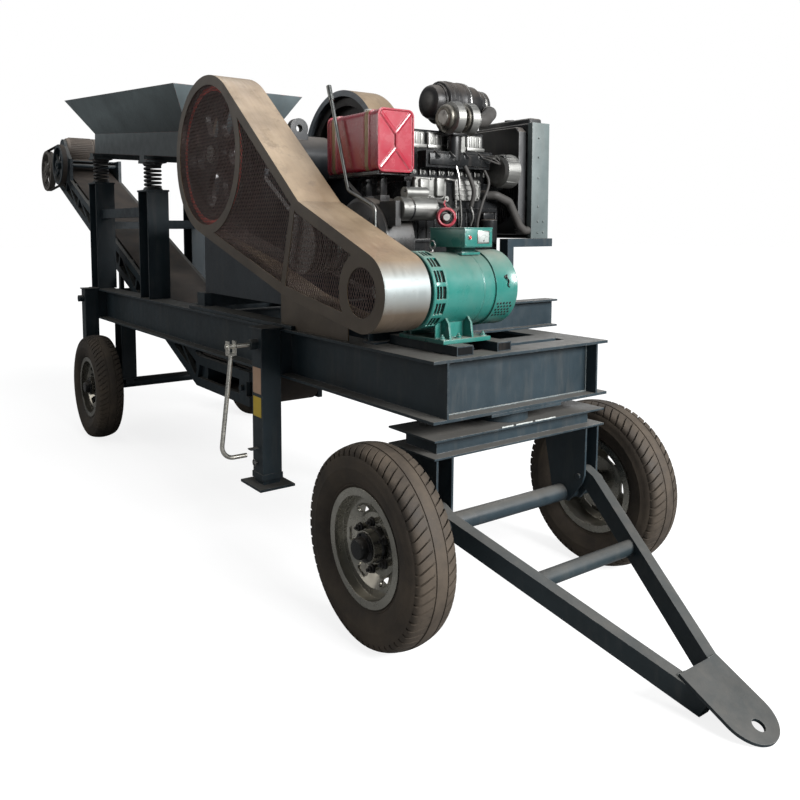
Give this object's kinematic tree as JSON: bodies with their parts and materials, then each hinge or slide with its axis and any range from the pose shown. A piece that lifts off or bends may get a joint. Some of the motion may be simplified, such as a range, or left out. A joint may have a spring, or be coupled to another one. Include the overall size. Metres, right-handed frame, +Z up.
{
  "type": "trailer-mounted jaw crushing plant",
  "caption": "Mobile jaw crusher on a drawbar trailer, with a hopper feeder, a guarded belt drive, a diesel engine, a generator and a discharge conveyor.",
  "frame": {"origin": "on the ground under the middle of the plant's outline", "axes": "+X forward to the drawbar, +Y to the far side, +Z up"},
  "size_m": [7.8602, 1.6004, 2.6651],
  "materials": {
    "chassis_paint": "satin",
    "tyre_rubber": "matte",
    "rim_silver": "satin",
    "bright_steel": "polished",
    "hopper_paint": "satin",
    "spring_steel": "satin",
    "crusher_paint": "satin",
    "jaw_steel": "rough",
    "wheel_paint": "satin",
    "machined_steel": "machined",
    "belt_rubber": "matte",
    "guard_paint": "satin",
    "mesh_paint": "matte",
    "engine_black": "satin",
    "engine_alloy": "cast",
    "filter_black": "satin",
    "radiator_black": "satin",
    "hose_rubber": "satin",
    "tank_red": "gloss",
    "generator_teal": "gloss",
    "motor_brown": "dusty"
  },
  "bodies": {
    "chassis": {"chassis_beams": "chassis_paint", "chassis_cross_members": "chassis_paint", "rear_axle": "chassis_paint", "king_pin": "chassis_paint", "jack_sleeves": "chassis_paint", "hopper_columns": "chassis_paint", "feeder_springs": "spring_steel", "feeder_tray": "hopper_paint", "hopper": "hopper_paint", "crusher_stand": "chassis_paint", "crusher_frame": "crusher_paint", "jaw_plates": "jaw_steel", "pitman": "crusher_paint", "toggle_plate": "jaw_steel", "bearing_housings": "crusher_paint", "drive_belts": "belt_rubber", "belt_guard_rim": "guard_paint", "belt_guard_face": "guard_paint", "belt_guard_mesh": "mesh_paint", "flywheel_guard": "guard_paint", "engine_subframe": "chassis_paint", "engine_block": "engine_black", "clutch_housing": "engine_alloy", "engine_accessories": "engine_alloy", "air_filter": "filter_black", "radiator": "radiator_black", "radiator_hose": "hose_rubber", "fuel_tank": "tank_red", "generator": "generator_teal", "conveyor_frame": "chassis_paint", "conveyor_belt": "belt_rubber", "conveyor_motor": "motor_brown", "conveyor_drive_belt": "belt_rubber"},
    "turntable": {"turntable_frame": "chassis_paint"},
    "drawbar": {"drawbar_frame": "chassis_paint"},
    "crusher_rotor": {"eccentric_shaft": "machined_steel", "crusher_sheave": "wheel_paint", "crusher_flywheel": "wheel_paint"},
    "engine_rotor": {"engine_pulley": "machined_steel"},
    "generator_rotor": {"generator_pulley": "machined_steel"},
    "fan": {"cooling_fan": "radiator_black"},
    "lever": {"clutch_lever": "engine_black"},
    "head_drum": {"conveyor_head_drum": "chassis_paint"},
    "tail_drum": {"conveyor_tail_drum": "chassis_paint"},
    "drive_wheel": {"conveyor_drive_wheel": "chassis_paint"},
    "wheel_front_near": {"tyre_front_near": "tyre_rubber", "rim_front_near": "rim_silver"},
    "leg_front_near": {"jack_leg_front_near": "chassis_paint"},
    "wheel_front_far": {"tyre_front_far": "tyre_rubber", "rim_front_far": "rim_silver"},
    "leg_front_far": {"jack_leg_front_far": "chassis_paint"},
    "wheel_rear_near": {"tyre_rear_near": "tyre_rubber", "rim_rear_near": "rim_silver"},
    "leg_rear_near": {"jack_leg_rear_near": "chassis_paint"},
    "wheel_rear_far": {"tyre_rear_far": "tyre_rubber", "rim_rear_far": "rim_silver"},
    "leg_rear_far": {"jack_leg_rear_far": "chassis_paint"},
    "crank_front_near": {"jack_crank_front_near": "bright_steel"},
    "crank_front_far": {"jack_crank_front_far": "bright_steel"}
  },
  "joints": [
    {"name": "turntable_steer", "type": "hinge", "parent": "chassis", "child": "turntable", "pos_m": [2.719, 0, 0.7535], "axis": [0, 0, 1], "range_deg": [-75, 75]},
    {"name": "drawbar_lift", "type": "hinge", "parent": "turntable", "child": "drawbar", "pos_m": [2.819, 0, 0.488], "axis": [0, -1, 0], "range_deg": [0, 55]},
    {"name": "roll_front_near", "type": "hinge", "parent": "turntable", "child": "wheel_front_near", "pos_m": [2.719, -0.644, 0.388], "axis": [0, 1, 0], "continuous": true},
    {"name": "roll_front_far", "type": "hinge", "parent": "turntable", "child": "wheel_front_far", "pos_m": [2.719, 0.644, 0.388], "axis": [0, 1, 0], "continuous": true},
    {"name": "roll_rear_near", "type": "hinge", "parent": "chassis", "child": "wheel_rear_near", "pos_m": [-0.981, -0.644, 0.388], "axis": [0, 1, 0], "continuous": true},
    {"name": "roll_rear_far", "type": "hinge", "parent": "chassis", "child": "wheel_rear_far", "pos_m": [-0.981, 0.644, 0.388], "axis": [0, 1, 0], "continuous": true},
    {"name": "jack_front_near", "type": "slide", "parent": "chassis", "child": "leg_front_near", "axis": [0, 0, -1], "range_m": [0, 0.305]},
    {"name": "jack_front_far", "type": "slide", "parent": "chassis", "child": "leg_front_far", "axis": [0, 0, -1], "range_m": [0, 0.305]},
    {"name": "jack_rear_near", "type": "slide", "parent": "chassis", "child": "leg_rear_near", "axis": [0, 0, -1], "range_m": [0, 0.305]},
    {"name": "jack_rear_far", "type": "slide", "parent": "chassis", "child": "leg_rear_far", "axis": [0, 0, -1], "range_m": [0, 0.305]},
    {"name": "turn_crank_front_near", "type": "hinge", "parent": "chassis", "child": "crank_front_near", "pos_m": [1.627, -0.735, 1.02], "axis": [0, 1, 0], "continuous": true},
    {"name": "turn_crank_front_far", "type": "hinge", "parent": "chassis", "child": "crank_front_far", "pos_m": [1.627, 0.735, 1.02], "axis": [0, 1, 0], "continuous": true},
    {"name": "crusher_spin", "type": "hinge", "parent": "chassis", "child": "crusher_rotor", "pos_m": [1.159, -0.13, 1.975], "axis": [0, 1, 0], "continuous": true},
    {"name": "engine_spin", "type": "hinge", "parent": "chassis", "child": "engine_rotor", "pos_m": [2.099, -0.53, 1.515], "axis": [0, 1, 0], "continuous": true},
    {"name": "generator_spin", "type": "hinge", "parent": "chassis", "child": "generator_rotor", "pos_m": [2.619, -0.46, 1.34], "axis": [0, 1, 0], "continuous": true},
    {"name": "fan_spin", "type": "hinge", "parent": "chassis", "child": "fan", "pos_m": [2.099, 0.48, 1.77], "axis": [0, 1, 0], "continuous": true},
    {"name": "head_drum_spin", "type": "hinge", "parent": "chassis", "child": "head_drum", "pos_m": [-3.721, 0, 2.182], "axis": [0, 1, 0], "continuous": true},
    {"name": "tail_drum_spin", "type": "hinge", "parent": "chassis", "child": "tail_drum", "pos_m": [0.739, 0, 0.615], "axis": [0, 1, 0], "continuous": true},
    {"name": "drive_wheel_spin", "type": "hinge", "parent": "chassis", "child": "drive_wheel", "pos_m": [-3.231, -0.1, 2.215], "axis": [0, 1, 0], "continuous": true},
    {"name": "clutch_throw", "type": "hinge", "parent": "chassis", "child": "lever", "pos_m": [2.349, -0.395, 1.515], "axis": [0, 1, 0], "range_deg": [0, 25]}
  ],
  "couplings": [
    {"joint": "engine_spin", "follows": "crusher_spin", "ratio": 2.8906},
    {"joint": "generator_spin", "follows": "crusher_spin", "ratio": 4.7436},
    {"joint": "fan_spin", "follows": "crusher_spin", "ratio": 2.8906},
    {"joint": "tail_drum_spin", "follows": "head_drum_spin", "ratio": 1},
    {"joint": "drive_wheel_spin", "follows": "head_drum_spin", "ratio": 1.0462}
  ]
}
